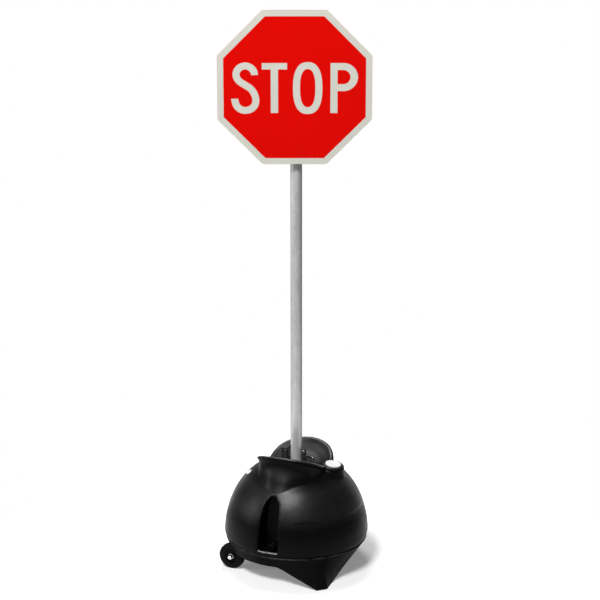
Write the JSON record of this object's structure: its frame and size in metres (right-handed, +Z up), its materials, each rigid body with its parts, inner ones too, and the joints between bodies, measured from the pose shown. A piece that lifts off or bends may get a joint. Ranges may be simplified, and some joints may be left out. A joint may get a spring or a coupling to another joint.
{
  "type": "portable stop sign",
  "caption": "Octagonal stop sign on a round galvanised post, standing in a domed fillable plastic base with hand lips, two wheels and a skid",
  "frame": {"origin": "on the ground under the axis of the post, in the middle of the footprint", "axes": "+Z up; the front of the base with its drain recess looks along -Y; the wheels are on the -X side with their axle along Y and the skid is at +X; the sign is turned 21.3 degrees about the post against the base"},
  "size_m": [0.602, 0.602, 2.3198],
  "materials": {
    "black_plastic": "moulded black polyethylene with a soft sheen",
    "black_rubber": "matt black rubber",
    "white_plastic": "smooth white moulding",
    "galvanised_steel": "hot dip galvanised, streaky grey",
    "zinc_plated": "zinc plated steel",
    "bright_plated": "bright plated steel",
    "black_paint": "black powder coat",
    "sheet_aluminium": "bare rolled sheet and extrusion",
    "red_sheeting": "red and white prismatic reflective sheeting"
  },
  "bodies": {
    "base": {"tank_shell": "black_plastic", "ballast_tray": "black_plastic", "axle_hanger_front": "black_paint", "axle_hanger_back": "black_paint", "axle": "zinc_plated", "wheel_washer_front": "zinc_plated", "wheel_washer_back": "zinc_plated", "hub_cap_nut_front": "bright_plated", "hub_cap_nut_back": "bright_plated", "post_socket": "galvanised_steel", "clamp_plate": "black_paint", "plate_bolt_1": "zinc_plated", "plate_bolt_2": "zinc_plated", "plate_bolt_3": "zinc_plated", "plate_bolt_4": "zinc_plated", "keeper_bracket": "black_paint", "keeper_pin": "zinc_plated", "lever_lug": "black_paint", "lever_bolt": "bright_plated", "lever_nut": "bright_plated"},
    "wheel_front": {"tyre_front": "black_rubber", "hub_front": "black_plastic"},
    "wheel_back": {"tyre_back": "black_rubber", "hub_back": "black_plastic"},
    "sleeve": {"adaptor_sleeve": "black_plastic"},
    "sign": {"post": "galvanised_steel", "post_cap": "black_plastic", "post_saddle_upper": "zinc_plated", "post_saddle_lower": "zinc_plated", "u_bolt_upper": "zinc_plated", "u_bolt_lower": "zinc_plated", "u_bolt_nut_upper_left": "zinc_plated", "u_bolt_nut_upper_right": "zinc_plated", "u_bolt_nut_lower_left": "zinc_plated", "u_bolt_nut_lower_right": "zinc_plated", "sign_rail_upper": "sheet_aluminium", "sign_rail_lower": "sheet_aluminium", "sign_blade": "sheet_aluminium", "reflective_sheeting": "red_sheeting"},
    "filler": {"filler_cap": "white_plastic", "filler_cap_seal": "black_rubber"},
    "vent": {"vent_plug": "white_plastic"},
    "drain": {"drain_plug": "black_plastic", "drain_plug_seal": "black_rubber"},
    "keeper": {"keeper_bar": "zinc_plated"},
    "lever": {"clamp_lever": "black_paint", "lever_stud": "bright_plated"}
  },
  "joints": [
    {"name": "front_wheel_spin", "type": "hinge", "parent": "base", "child": "wheel_front", "pos_m": [-0.216, -0.184, 0.055], "axis": [0, 1, 0], "continuous": true},
    {"name": "back_wheel_spin", "type": "hinge", "parent": "base", "child": "wheel_back", "pos_m": [-0.216, 0.184, 0.055], "axis": [0, 1, 0], "continuous": true},
    {"name": "sleeve_swivel", "type": "hinge", "parent": "base", "child": "sleeve", "pos_m": [0, 0, 0.432], "axis": [0, 0, 1], "range_deg": [-180, 180]},
    {"name": "post_lift", "type": "slide", "parent": "sleeve", "child": "sign", "axis": [0, 0, 1], "range_m": [0, 0.245]},
    {"name": "filler_lift", "type": "slide", "parent": "base", "child": "filler", "axis": [0.1564, 0, 0.9877], "range_m": [0, 0.06]},
    {"name": "vent_pull", "type": "slide", "parent": "base", "child": "vent", "axis": [-0.5624, -0.2504, 0.788], "range_m": [0, 0.03]},
    {"name": "drain_pull", "type": "slide", "parent": "base", "child": "drain", "axis": [0, -1, 0], "range_m": [0, 0.022]},
    {"name": "keeper_swing", "type": "hinge", "parent": "base", "child": "keeper", "pos_m": [-0.045, 0.012, 0.4855], "axis": [0, 1, 0], "range_deg": [0, 75]},
    {"name": "lever_swing", "type": "hinge", "parent": "base", "child": "lever", "pos_m": [0.0355, -0.004, 0.489], "axis": [0, 1, 0], "range_deg": [-90, 0]}
  ]
}
